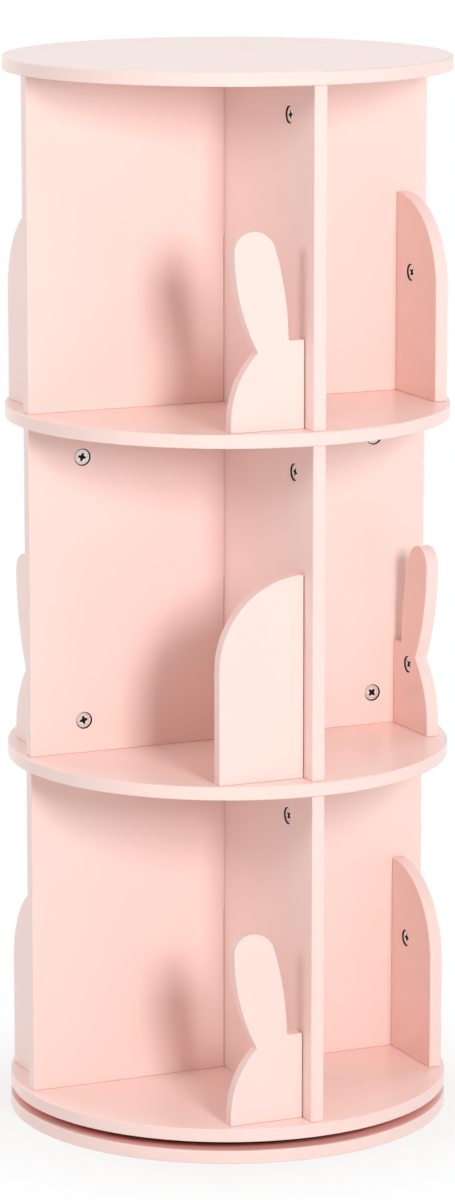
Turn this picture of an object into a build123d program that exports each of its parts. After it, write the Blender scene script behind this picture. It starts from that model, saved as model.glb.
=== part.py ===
from build123d import *

import math
import os

# Revolving bookcase: three tiers of crossed dividers between round shelves, turning on a flat ball bearing.
# Millimetres. +Z is up, the origin is on the floor at the axis of rotation, +X is right and -Y is the front.

# Boards
shelf_diameter = 400.0
board_thickness = 12.0
divider_height = 298.0
divider_inset = 5.0  # from a shelf's rim to the end of a divider
edge_round = 1.0
edge_round_limit_share = 0.2  # largest edge rounding, as a share of the board
lap_clearance = 0.5  # side gap where one divider slots over the other

# Arch bookend, measured from the divider's face and the shelf
arch_width = 80.0
arch_height = 181.0
arch_cam_height = 111.0
arch_dowel_height = 45.0

# Rabbit bookend: half a head with one ear, measured in the same way
rabbit_width = 69.0
rabbit_height = 173.0
rabbit_foot_rise = 8.0  # straight stretch below the cheek
rabbit_notch_reach = 43.5
rabbit_notch_height = 68.0
rabbit_notch_round = 2.5
rabbit_ledge_width = 14.5
rabbit_ledge_height = 77.5
rabbit_ledge_round = 2.0
ear_top_reach = 48.2
ear_outer_radius = 17.5
ear_inner_radius = 22.0
ear_lean = 17.4  # degrees from upright where the ear's inner side meets its tip
rabbit_cam_height = 60.0
rabbit_dowel_height = 25.0

# Places of the bookends
bookend_inset = 18.0  # from the end of a divider to a bookend's outer face
bookend_side_gap = 0.8
bookend_foot_gap = 0.3

# Cam locks and their bolts
cam_diameter = 14.4
cam_hole_clearance = 0.5
cam_setback = 29.5  # from the joint to the middle of the cam
cam_recess = 1.2
cam_chamfer = 0.5
cam_floor = 2.0  # wood left behind the cam
cam_back_gap = 0.2
cam_inset = 40.0  # from the end of an arch divider to its cams
cam_stagger = 11.5  # how much further in a rabbit divider's cams are, so that bolts in one shelf stay apart
cross_length = 7.0
cross_width = 1.8
cross_depth = 1.3
cross_turn = 30.0  # degrees
bolt_thread_diameter = 6.0
bolt_thread_floor = 3.0  # wood left past a thread's end
bolt_shank_diameter = 6.8
bolt_shank_stop = 1.0  # from the end of the shank to the cam
bolt_neck_diameter = 3.6
bolt_head_diameter = 5.6
bolt_head_length = 3.0
bolt_clearance = 0.3
thread_clearance = 0.05

# Dowels
dowel_diameter = 6.0
dowel_depth = 14.0  # length inside a bookend
dowel_floor = 4.0  # wood left past its other end
dowel_chamfer = 0.6
dowel_end_gap = 0.5

# Turntable bearing
turntable_height = 8.0
race_diameter = 220.0
race_gap = 2.0
ring_width = 14.0
ring_clearance = 1.0  # from each ring to the board that it does not touch
ball_diameter = 4.0
ball_count = 24
running_clearance = 0.3
cage_thickness = 1.2
cage_end_gap = 0.5
screw_count = 4
screw_diameter = 4.0
screw_head_diameter = 8.0
screw_head_lip = 0.4
screw_head_depth = 2.4
screw_sink = 0.4
screw_bite = 5.0  # length of a base screw inside its ring
screw_floor = 3.0  # wood left past a shelf screw's end
screw_cross_length = 4.4
screw_cross_width = 1.0
screw_cross_depth = 1.4

overrun = 2.0  # how far cuts reach past a face

# Sizes worked out from those above
shelf_radius = shelf_diameter / 2
half_board = board_thickness / 2
divider_reach = shelf_radius - divider_inset
edge_radius = min(edge_round, board_thickness * edge_round_limit_share)
bookend_outer_face = divider_reach - bookend_inset
bookend_middle = bookend_outer_face - half_board
cam_radius = cam_diameter / 2
cam_hole_radius = cam_radius + cam_hole_clearance
cam_depth = board_thickness - cam_floor
cam_pocket_reach = bolt_head_length / 2 + bolt_clearance
bolt_thread_length = board_thickness - bolt_thread_floor
dowel_bite = board_thickness - dowel_floor
race_radius = race_diameter / 2
ball_radius = ball_diameter / 2
carousel_floor = board_thickness + turntable_height
tier_pitch = board_thickness + divider_height
up = (0, 0, 1)
down = (0, 0, -1)

nodes = {}


def rod(radius, start, end):
    """Cylinder along Z from start to end."""
    return Pos(0, 0, start) * Cylinder(radius, end - start, align=(Align.CENTER, Align.CENTER, Align.MIN))


def side_rod(radius, height, start, end):
    """Cylinder along X from start to end, at a height on Z."""
    return Pos(start, 0, height) * Rot(0, 90, 0) * rod(radius, 0, end - start)


def turned_piece(outline):
    """Solid of revolution about Z from (radius, height) points."""
    profile = Plane.XZ * make_face(Polyline(*outline, close=True))
    return revolve(profile, Axis.Z)


def frame_at(origin, along, across):
    """Joint frame: Z runs along the fastener and X across it, towards the face that it is worked from."""
    return Plane(origin=origin, x_dir=across, z_dir=along).location


# Boards


def round_board(underside):
    board = rod(shelf_radius, underside, underside + board_thickness)
    return fillet(board.edges().filter_by(GeomType.CIRCLE), edge_radius)


def divider_board(floor, slot_opens_down):
    """Board along X, slotted to half its height for the board that crosses it."""
    board = Pos(0, 0, floor) * Box(
        2 * divider_reach,
        board_thickness,
        divider_height,
        align=(Align.CENTER, Align.CENTER, Align.MIN),
    )
    board = fillet(board.edges(), edge_radius)
    slot_height = divider_height / 2 + lap_clearance
    slot_foot = floor - overrun if slot_opens_down else floor + divider_height - slot_height
    slot = Pos(0, 0, slot_foot) * Box(
        board_thickness + 2 * lap_clearance,
        board_thickness + 2 * overrun,
        slot_height + overrun,
        align=(Align.CENTER, Align.CENTER, Align.MIN),
    )
    return board - slot


def arch_outline():
    spring = arch_height - arch_width
    edges = [
        Line((0, 0), (arch_width, 0)),
        Line((arch_width, 0), (arch_width, spring)),
        CenterArc((0, spring), arch_width, 0, 90),
        Line((0, arch_height), (0, 0)),
    ]
    return make_face(edges)


def rabbit_outline():
    cheek_foot = (rabbit_width, rabbit_foot_rise)
    notch = (rabbit_notch_reach, rabbit_notch_height)
    ledge = (rabbit_ledge_width, rabbit_ledge_height)
    outer_centre = (ear_top_reach, rabbit_height - ear_outer_radius)
    inner_centre = (ear_top_reach, rabbit_height - ear_inner_radius)
    ear_side = (ear_top_reach + ear_outer_radius, outer_centre[1])
    lean_sine = math.sin(math.radians(ear_lean))
    lean_cosine = math.cos(math.radians(ear_lean))
    ear_shoulder = (
        inner_centre[0] - ear_inner_radius * lean_cosine,
        inner_centre[1] + ear_inner_radius * lean_sine,
    )
    edges = [
        Line((0, 0), (rabbit_width, 0)),
        Line((rabbit_width, 0), cheek_foot),
        TangentArc(cheek_foot, notch, tangent=(0, 1)),
        TangentArc(ear_side, notch, tangent=(0, -1)),
        CenterArc(outer_centre, ear_outer_radius, 0, 90),
        CenterArc(inner_centre, ear_inner_radius, 90, 90 - ear_lean),
        TangentArc(ear_shoulder, ledge, tangent=(-lean_sine, -lean_cosine)),
        Line(ledge, (0, rabbit_ledge_height)),
        Line((0, rabbit_ledge_height), (0, 0)),
    ]
    outline = make_face(edges)
    outline = fillet(outline.vertices().sort_by_distance(notch)[0], rabbit_notch_round)
    return fillet(outline.vertices().sort_by_distance(ledge)[0], rabbit_ledge_round)


def bookend_board(outline, floor):
    """Front bookend: the outline's foot is on the shelf and its straight side against the divider's left face."""
    board = extrude(outline, board_thickness)
    rims = [edge for edge in board.edges().filter_by(Axis.Z, reverse=True)
            if min(edge.center().X, edge.center().Y) > edge_radius]
    board = fillet(rims, edge_radius)
    corner = (-half_board - bookend_side_gap, -bookend_outer_face, floor + bookend_foot_gap)
    return Plane(origin=corner, x_dir=(-1, 0, 0), z_dir=(0, 1, 0)).location * board


# Cam locks, in a joint frame that starts on the face where the two boards meet


def cam_board_cut():
    """Bolt bore from the board's edge and the cam's hole from its face."""
    bore = rod(bolt_shank_diameter / 2 + bolt_clearance, -overrun, cam_setback + cam_pocket_reach)
    hole = side_rod(cam_hole_radius, cam_setback, half_board - cam_depth, half_board + overrun)
    return [bore, hole]


def thread_cut():
    return rod(bolt_thread_diameter / 2 + thread_clearance, -bolt_thread_length - bolt_clearance, overrun)


def cross_cut(length, width, depth):
    """Cross recess in a face at Z = 0, cut towards -Z."""
    arm = Pos(0, 0, overrun) * Box(length, width, depth + overrun, align=(Align.CENTER, Align.CENTER, Align.MAX))
    return [arm, Rot(0, 0, 90) * arm]


def cam():
    """Round cam with its cross recess, hollow where it grips the bolt's head and neck."""
    back = half_board - cam_depth + cam_back_gap
    face = half_board - cam_recess
    body = rod(cam_radius, back - face, 0)
    body = chamfer(body.edges().sort_by(Axis.Z)[-1], cam_chamfer)
    body -= [Rot(0, 0, cross_turn) * arm for arm in cross_cut(cross_length, cross_width, cross_depth)]
    seat = Pos(face, 0, cam_setback) * Rot(0, 90, 0)
    pocket_radius = bolt_head_diameter / 2 + bolt_clearance
    pocket = rod(pocket_radius, cam_setback - cam_pocket_reach, cam_setback + cam_pocket_reach)
    neck_way = rod(bolt_neck_diameter / 2 + bolt_clearance, 0, cam_setback)
    return seat * body - [pocket, neck_way]


def cam_bolt():
    """Bolt turned in steps: thread, shank, neck and head."""
    thread_radius = bolt_thread_diameter / 2
    shank_radius = bolt_shank_diameter / 2
    neck_radius = bolt_neck_diameter / 2
    head_radius = bolt_head_diameter / 2
    shank_end = cam_setback - cam_hole_radius - bolt_shank_stop
    head_start = cam_setback - bolt_head_length / 2
    head_end = cam_setback + bolt_head_length / 2
    return turned_piece([
        (0, -bolt_thread_length),
        (thread_radius, -bolt_thread_length),
        (thread_radius, 0),
        (shank_radius, 0),
        (shank_radius, shank_end),
        (neck_radius, shank_end),
        (neck_radius, head_start),
        (head_radius, head_start),
        (head_radius, head_end),
        (0, head_end),
    ])


def dowel():
    pin = rod(dowel_diameter / 2, -dowel_bite, dowel_depth)
    return chamfer(pin.edges().filter_by(GeomType.CIRCLE), dowel_chamfer)


def dowel_cut():
    return rod(dowel_diameter / 2 + thread_clearance, -dowel_bite - dowel_end_gap, dowel_depth + dowel_end_gap)


cam_piece = cam()
bolt_piece = cam_bolt()
dowel_piece = dowel()


# Tiers


def divider_joints(floor, inset):
    """Joint frames at the four corners of a divider along X, with cams on its back face."""
    reach = divider_reach - inset
    ceiling = floor + divider_height
    below = [frame_at((side * reach, 0, floor), up, (0, 1, 0)) for side in (-1, 1)]
    above = [frame_at((side * reach, 0, ceiling), down, (0, 1, 0)) for side in (-1, 1)]
    return below, above


def bookend_joint(height):
    """Joint frame of a front bookend on its divider, with the cam on the bookend's inner face."""
    return frame_at((-half_board, -bookend_middle, height), (-1, 0, 0), (0, 1, 0))


def build_shelves():
    names = ("bottom_shelf", "lower_middle_shelf", "upper_middle_shelf", "top_board")
    for level, name in enumerate(names):
        nodes[name] = round_board(carousel_floor + level * tier_pitch)
    return names


def build_divider(name, floor, angle, inset, shelf_below, shelf_above):
    """Adds one divider, bores it and the shelves for its cam bolts, and returns its cams and bolts."""
    turn = Rot(0, 0, angle)
    below, above = divider_joints(floor, inset)
    lies_sideways = angle % 180 == 0
    board = divider_board(floor, slot_opens_down=lies_sideways)
    for joint in below + above:
        board -= [joint * cut for cut in cam_board_cut()]
    nodes[name] = turn * board
    nodes[shelf_below] -= [turn * joint * thread_cut() for joint in below]
    nodes[shelf_above] -= [turn * joint * thread_cut() for joint in above]
    cams = [turn * joint * cam_piece for joint in below + above]
    bolts = [turn * joint * bolt_piece for joint in below + above]
    return cams, bolts


def build_bookend(name, divider_name, outline, floor, angle, cam_height, dowel_height):
    """Adds one bookend, bores it and its divider, and returns its cam, bolt and dowel."""
    turn = Rot(0, 0, angle)
    cam_joint = bookend_joint(floor + cam_height)
    dowel_joint = bookend_joint(floor + dowel_height)
    board = bookend_board(outline, floor)
    board -= [cam_joint * cut for cut in cam_board_cut()]
    board -= dowel_joint * dowel_cut()
    nodes[name] = turn * board
    nodes[divider_name] -= [turn * cam_joint * thread_cut(), turn * dowel_joint * dowel_cut()]
    return turn * cam_joint * cam_piece, turn * cam_joint * bolt_piece, turn * dowel_joint * dowel_piece


def build_tier(level, tier, shelf_names):
    """Adds one tier. Every other tier is turned a quarter, so that bolts above and below a shelf stay apart."""
    floor = carousel_floor + level * tier_pitch + board_thickness
    quarter = 90 * (level % 2)
    directions = ("left_right", "front_back")
    arch_divider = f"{tier}_{directions[level % 2]}_divider"
    rabbit_divider = f"{tier}_{directions[1 - level % 2]}_divider"

    shelves = shelf_names[level:level + 2]
    cams, bolts = build_divider(arch_divider, floor, quarter, cam_inset, *shelves)
    more_cams, more_bolts = build_divider(rabbit_divider, floor, quarter + 90, cam_inset + cam_stagger, *shelves)
    nodes[f"{tier}_divider_cams"] = Compound(cams + more_cams)
    nodes[f"{tier}_divider_cam_bolts"] = Compound(bolts + more_bolts)

    sides = ("front", "right", "back", "left")
    fittings = []
    for step, side in enumerate(sides):
        angle = 90 * step
        if (angle - quarter) % 180 == 0:
            name = f"{tier}_{side}_rabbit_bookend"
            fittings.append(build_bookend(
                name, rabbit_divider, rabbit_outline(), floor, angle, rabbit_cam_height, rabbit_dowel_height))
        else:
            name = f"{tier}_{side}_arch_bookend"
            fittings.append(build_bookend(
                name, arch_divider, arch_outline(), floor, angle, arch_cam_height, arch_dowel_height))
    for kind, pieces in zip(("cams", "cam_bolts", "dowels"), zip(*fittings)):
        nodes[f"{tier}_bookend_{kind}"] = Compound(list(pieces))


# Turntable


def screw(length):
    """Countersunk screw along +Z with its head's face at Z = 0."""
    shank_radius = screw_diameter / 2
    head_radius = screw_head_diameter / 2
    body = turned_piece([
        (0, 0),
        (head_radius, 0),
        (head_radius, screw_head_lip),
        (shank_radius, screw_head_depth),
        (shank_radius, length),
        (0, length),
    ])
    recess = cross_cut(screw_cross_length, screw_cross_width, screw_cross_depth)
    return body - [Rot(180, 0, 0) * arm for arm in recess]


def screw_cut(length):
    shank_radius = screw_diameter / 2 + thread_clearance
    head_radius = screw_head_diameter / 2 + thread_clearance
    return turned_piece([
        (0, -overrun),
        (head_radius, -overrun),
        (head_radius, screw_head_lip),
        (shank_radius, screw_head_depth),
        (shank_radius, length + thread_clearance),
        (0, length + thread_clearance),
    ])


def screw_places(radius, height):
    step = 360 / screw_count
    return [Rot(0, 0, (index + 0.5) * step) * Pos(radius, 0, height) for index in range(screw_count)]


def build_turntable():
    """Adds the base board, two ball rings, the balls in their cage, and the screws that hold the rings."""
    middle = board_thickness + turntable_height / 2
    groove = Pos(0, 0, middle) * Torus(race_radius, ball_radius + running_clearance)
    inner_face = race_radius - race_gap / 2
    outer_face = race_radius + race_gap / 2

    base_ring_top = carousel_floor - ring_clearance
    base_ring = rod(inner_face, board_thickness, base_ring_top)
    base_ring -= rod(inner_face - ring_width, board_thickness - overrun, base_ring_top + overrun)
    base_ring -= groove

    shelf_ring_foot = board_thickness + ring_clearance
    shelf_ring = rod(outer_face + ring_width, shelf_ring_foot, carousel_floor)
    shelf_ring -= rod(outer_face, shelf_ring_foot - overrun, carousel_floor + overrun)
    shelf_ring -= groove

    base_screw_length = board_thickness + screw_bite - screw_sink
    base_places = screw_places(inner_face - ring_width / 2, screw_sink)
    base_cuts = [place * screw_cut(base_screw_length) for place in base_places]
    shelf_screw_length = carousel_floor + board_thickness - screw_floor - shelf_ring_foot - screw_sink
    shelf_places = screw_places(outer_face + ring_width / 2, shelf_ring_foot + screw_sink)
    shelf_cuts = [place * screw_cut(shelf_screw_length) for place in shelf_places]

    ball_step = 360 / ball_count
    ball_turns = [Rot(0, 0, index * ball_step) for index in range(ball_count)]
    cage = rod(race_radius + cage_thickness / 2, board_thickness + cage_end_gap, carousel_floor - cage_end_gap)
    cage -= rod(race_radius - cage_thickness / 2, board_thickness, carousel_floor)
    ball_hole = side_rod(ball_radius + running_clearance, middle, race_radius - overrun, race_radius + overrun)
    cage -= [turn * ball_hole for turn in ball_turns]
    ball = Pos(race_radius, 0, middle) * Sphere(ball_radius)

    nodes["base_board"] = round_board(0) - base_cuts
    nodes["turntable_base_ring"] = base_ring - base_cuts
    nodes["turntable_shelf_ring"] = shelf_ring - shelf_cuts
    nodes["bottom_shelf"] -= shelf_cuts
    nodes["turntable_ball_cage"] = cage
    nodes["turntable_balls"] = Compound([turn * ball for turn in ball_turns])
    nodes["turntable_base_screws"] = Compound([place * screw(base_screw_length) for place in base_places])
    nodes["turntable_shelf_screws"] = Compound([place * screw(shelf_screw_length) for place in shelf_places])


shelf_names = build_shelves()
for level, tier in enumerate(("bottom", "middle", "top")):
    build_tier(level, tier, shelf_names)
build_turntable()

os.makedirs("parts", exist_ok=True)
for name, shape in nodes.items():
    export_step(shape, f"parts/{name}.step")
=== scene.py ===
import math

import bpy
import numpy as np
from bpy.props import FloatProperty, FloatVectorProperty, IntProperty, PointerProperty
from bpy.types import Operator, Panel, PropertyGroup
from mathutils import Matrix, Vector


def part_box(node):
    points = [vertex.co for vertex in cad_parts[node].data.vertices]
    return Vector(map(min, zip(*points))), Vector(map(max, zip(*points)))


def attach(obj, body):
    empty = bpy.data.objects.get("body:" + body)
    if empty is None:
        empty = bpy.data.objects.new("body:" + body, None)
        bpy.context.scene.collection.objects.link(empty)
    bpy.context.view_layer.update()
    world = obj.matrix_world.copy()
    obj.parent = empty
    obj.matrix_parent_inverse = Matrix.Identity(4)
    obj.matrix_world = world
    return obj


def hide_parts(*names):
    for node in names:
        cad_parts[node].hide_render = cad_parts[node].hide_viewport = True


bl_info = {
    "name": "Revolving Bookcase",
    "version": (1, 0, 0),
    "blender": (4, 5, 0),
    "location": "View3D > Sidebar > Bookcase",
    "description": "Finishes, fittings and studio of a revolving bookcase",
    "category": "Object",
}

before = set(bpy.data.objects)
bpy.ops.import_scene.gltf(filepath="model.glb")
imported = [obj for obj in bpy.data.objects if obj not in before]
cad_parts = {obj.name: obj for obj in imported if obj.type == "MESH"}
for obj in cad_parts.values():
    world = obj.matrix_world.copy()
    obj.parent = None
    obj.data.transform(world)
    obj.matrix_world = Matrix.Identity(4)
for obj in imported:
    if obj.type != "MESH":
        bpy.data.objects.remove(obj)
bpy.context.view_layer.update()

TIERS = ("bottom", "middle", "top")
SHELVES = ("bottom_shelf", "lower_middle_shelf", "upper_middle_shelf", "top_board")
# Quarter turns about the axis by which bookends and turntable screws repeat
QUARTERS = range(4)

# Heights of the three tiers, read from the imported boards
tier_floors = [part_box(name)[1].z for name in SHELVES[:3]]
tier_pitch = tier_floors[1] - tier_floors[0]
divider_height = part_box(SHELVES[1])[0].z - tier_floors[0]
board_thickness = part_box("base_board")[1].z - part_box("base_board")[0].z
half_board = board_thickness / 2
bookend_outer_face = -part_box("bottom_front_rabbit_bookend")[0].y
bookend_inner_face = bookend_outer_face - board_thickness

# Heights of the two faces of the turntable's gap
gap_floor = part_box("base_board")[1].z
gap_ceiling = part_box(SHELVES[0])[0].z
# Distances from the axis where painted shade in the turntable's gap begins and where it is at its darkest
overspray_outer = 0.1985
gap_shade_inner = 0.175


# Settings


def rgb(name, description, default):
    """Setting that is a colour."""
    return FloatVectorProperty(
        name=name, description=description, subtype="COLOR", min=0, max=1, default=default)


def metres(name, description, default, **limits):
    """Setting that is a length."""
    return FloatProperty(name=name, description=description, unit="LENGTH", default=default, **limits)


def fraction(name, description, default):
    """Setting between 0 and 1."""
    return FloatProperty(name=name, description=description, subtype="FACTOR", min=0, max=1, default=default)


def watts(name, description, default):
    """Setting that is a lamp's power."""
    return FloatProperty(name=name, description=description, unit="POWER", default=default)


class BookcaseFinishes(PropertyGroup):
    """Colours and surface detail of the bookcase's materials."""

    lacquer: rgb("Lacquer", "Colour of the satin lacquer on the boards", (0.94, 0.722, 0.674))
    lacquer_cloud: rgb("Lacquer clouds", "Colour of the faint clouds in the lacquer", (0.925, 0.698, 0.646))
    lacquer_roughness: fraction("Lacquer roughness", "Middle roughness of the lacquer", 0.36)
    lacquer_coat: fraction("Lacquer coat", "Weight of the clear coat over the colour", 0.35)
    coat_roughness: fraction("Coat roughness", "Roughness of the clear coat", 0.14)
    peel_size: metres(
        "Orange peel size", "Width of one bump of the sprayed lacquer", 0.0022, min=0.0002, max=0.02)
    peel_height: metres(
        "Orange peel height", "Height of the bumps of the sprayed lacquer", 0.00002, min=0, max=0.001)
    # Painted shade: a deeper pink at the mouth of the turntable's gap
    gap_mouth_shade: rgb(
        "Gap mouth shade", "Colour of the thin lacquer at the mouth of the turntable's gap", (0.95, 0.51, 0.45))
    # Near-black colour: raw board in the cam holes, darkened as painted shade, and painted shade deep in the
    # turntable's gap
    raw_board_and_shade: rgb(
        "Fibreboard", "Colour of the raw board in the cam holes and the turntable's gap", (0.06, 0.017, 0.012))
    nickel: rgb("Nickel", "Colour of the plated cam locks", (0.96, 0.945, 0.93))
    zinc: rgb("Zinc", "Colour of the zinc-plated bolts and screws", (0.60, 0.61, 0.63))
    aluminium: rgb("Aluminium", "Colour of the turned bearing rings", (0.76, 0.77, 0.78))
    steel: rgb("Ball steel", "Colour of the polished balls", (0.72, 0.72, 0.74))
    nylon: rgb("Nylon", "Colour of the moulded ball cage", (0.80, 0.79, 0.74))
    beech: rgb("Beech", "Colour of the wooden dowels", (0.62, 0.41, 0.23))


class BookcaseCams(PropertyGroup):
    """Sizes of the cam locks and of their places on the boards."""

    radius: metres("Radius", "Radius of a cam's face", 0.0072)
    thickness: metres("Thickness", "Length of a cam inside its hole", 0.0086)
    sink: metres("Sink", "How far a cam's face lies below the board's face", 0.0012)
    chamfer: metres("Chamfer", "Chamfer round a cam's face", 0.0005)
    hole_radius: metres("Hole radius", "Radius of the hole that a cam sits in", 0.0077)
    setback: metres("Setback", "From a joint to the middle of its cam", 0.0295)
    arch_reach: metres(
        "Arch divider reach", "From the axis to the cams of a divider that carries arches", 0.155)
    rabbit_reach: metres(
        "Rabbit divider reach", "From the axis to the cams of a divider that carries rabbits", 0.1435)
    arch_height: metres("Arch cam height", "Height of an arch bookend's cam above its shelf", 0.111)
    rabbit_height: metres("Rabbit cam height", "Height of a rabbit bookend's cam above its shelf", 0.060)
    cross_reach: metres("Cross reach", "Length of one arm of the cross recess", 0.0036)
    cross_width: metres("Cross width", "Width of an arm at the middle of the cross", 0.0034)
    cross_tip: metres("Cross tip", "Width of an arm at its tip", 0.0013)
    cross_depth: metres("Cross depth", "Depth of the recess at its middle", 0.0016)
    slot_height: metres("Slot height", "Height of the slot that takes the bolt's head", 0.0058)
    slot_back: metres("Slot back", "How far past a cam's middle its slot reaches", 0.0018)
    slot_relief: metres("Slot relief", "How far the web behind the slot lies below the wall", 0.0002)
    groove_radius: metres("Groove radius", "Radius of the ring cast into a cam's face", 0.0053)
    groove_width: metres("Groove width", "Width of the cast ring", 0.0007)
    groove_depth: metres("Groove depth", "Depth of the cast ring", 0.00035)
    steps: IntProperty(
        name="Steps", description="Number of points round a cam", min=24, max=240, default=112)


class BookcaseFasteners(PropertyGroup):
    """Sizes of the cam bolts, dowels and turntable screws."""

    bolt_thread_radius: metres("Bolt thread radius", "Radius of a cam bolt over its thread", 0.00298)
    bolt_thread_length: metres("Bolt thread length", "Length of a cam bolt's thread", 0.009)
    bolt_pitch: metres("Bolt pitch", "Pitch of a cam bolt's thread", 0.0016)
    bolt_shank_radius: metres("Bolt shank radius", "Radius of a cam bolt's shank", 0.00338)
    bolt_shank_end: metres("Bolt shank end", "From the joint to the end of the shank", 0.0208)
    bolt_neck_radius: metres("Bolt neck radius", "Radius of a cam bolt's neck", 0.00178)
    bolt_head_radius: metres("Bolt head radius", "Radius of a cam bolt's head", 0.00278)
    bolt_head_length: metres("Bolt head length", "Length of a cam bolt's head", 0.003)
    thread_depth: metres("Thread depth", "Depth of the bolts' thread", 0.00062)
    dowel_radius: metres("Dowel radius", "Radius of a dowel", 0.00298)
    dowel_bite: metres("Dowel bite", "Length of a dowel in the divider", 0.008)
    dowel_depth: metres("Dowel depth", "Length of a dowel in the bookend", 0.014)
    dowel_chamfer: metres("Dowel chamfer", "Chamfer of a dowel's ends", 0.0006)
    dowel_flutes: IntProperty(
        name="Dowel flutes", description="Number of glue flutes round a dowel", min=6, max=40, default=16)
    flute_depth: metres("Flute depth", "Depth of a glue flute", 0.00026)
    arch_dowel_height: metres(
        "Arch dowel height", "Height of an arch bookend's dowel above its shelf", 0.045)
    rabbit_dowel_height: metres(
        "Rabbit dowel height", "Height of a rabbit bookend's dowel above its shelf", 0.025)
    screw_radius: metres("Screw radius", "Radius of a turntable screw over its thread", 0.00198)
    screw_pitch: metres("Screw pitch", "Pitch of a turntable screw", 0.0013)
    screw_head_radius: metres("Screw head radius", "Radius of a turntable screw's head", 0.00398)
    screw_head_lip: metres("Screw head lip", "Height of the head's straight edge", 0.0004)
    screw_head_depth: metres("Screw head depth", "Depth of the head to the end of its cone", 0.0024)
    steps: IntProperty(
        name="Steps", description="Number of points round a bolt or screw", min=24, max=120, default=48)


class BookcaseStage(PropertyGroup):
    """Floor, lamps and camera."""

    floor_colour: rgb("Floor", "Colour of the floor round the bookcase", (0.80, 0.795, 0.79))
    floor_radius: metres("Floor radius", "Reach of the floor", 60.0)
    ambient: FloatProperty(
        name="Ambient", description="Strength of the even light from all round", min=0, default=0.265)
    light_bounces: IntProperty(
        name="Light bounces", description="How often light passes on between the lacquered faces",
        min=0, default=12)
    key_power: watts("Key power", "Power of the lamp in front", 60.5)
    left_power: watts("Left power", "Power of the lamp on the left", 23.0)
    top_power: watts("Top power", "Power of the lamp above", 11.0)
    right_power: watts("Right power", "Power of the lamp on the right", 34.0)
    back_power: watts("Back power", "Power of the lamp behind", 52.0)
    camera_place: FloatVectorProperty(
        name="Camera", description="Where the camera stands", subtype="TRANSLATION", unit="LENGTH",
        default=(-1.724, -3.848, 1.298))
    camera_turn: FloatProperty(
        name="Camera turn", description="Turn of the camera to the right of straight back", subtype="ANGLE",
        default=math.radians(24.134))
    camera_dip: FloatProperty(
        name="Camera dip", description="How far the camera looks down", subtype="ANGLE",
        default=math.radians(11.125))
    camera_lens: FloatProperty(
        name="Lens", description="Focal length in millimetres for a sensor 36 mm long", default=142.29)


# Materials


class Socket:
    """A node's output in a material. Arithmetic on it adds Math nodes to that material."""

    def __init__(self, finish, output):
        self.finish = finish
        self.output = output

    def math(self, operation, first, second=0.0):
        return self.finish.node("ShaderNodeMath", {"operation": operation}, {0: first, 1: second})

    def __add__(self, other):
        return self.math("ADD", self, other)

    def __radd__(self, other):
        return self.math("ADD", other, self)

    def __sub__(self, other):
        return self.math("SUBTRACT", self, other)

    def __rsub__(self, other):
        return self.math("SUBTRACT", other, self)

    def __mul__(self, other):
        return self.math("MULTIPLY", self, other)

    def __rmul__(self, other):
        return self.math("MULTIPLY", other, self)

    def __truediv__(self, other):
        return self.math("DIVIDE", self, other)

    def __rtruediv__(self, other):
        return self.math("DIVIDE", other, self)

    def __mod__(self, other):
        return self.math("FLOORED_MODULO", self, other)

    def __pow__(self, other):
        return self.math("POWER", self, other)

    def __abs__(self):
        return self.math("ABSOLUTE", self)

    def __lt__(self, other):
        return self.math("LESS_THAN", self, other)

    def __gt__(self, other):
        return self.math("GREATER_THAN", self, other)

    def larger(self, other):
        return self.math("MAXIMUM", self, other)

    def smaller(self, other):
        return self.math("MINIMUM", self, other)


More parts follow.
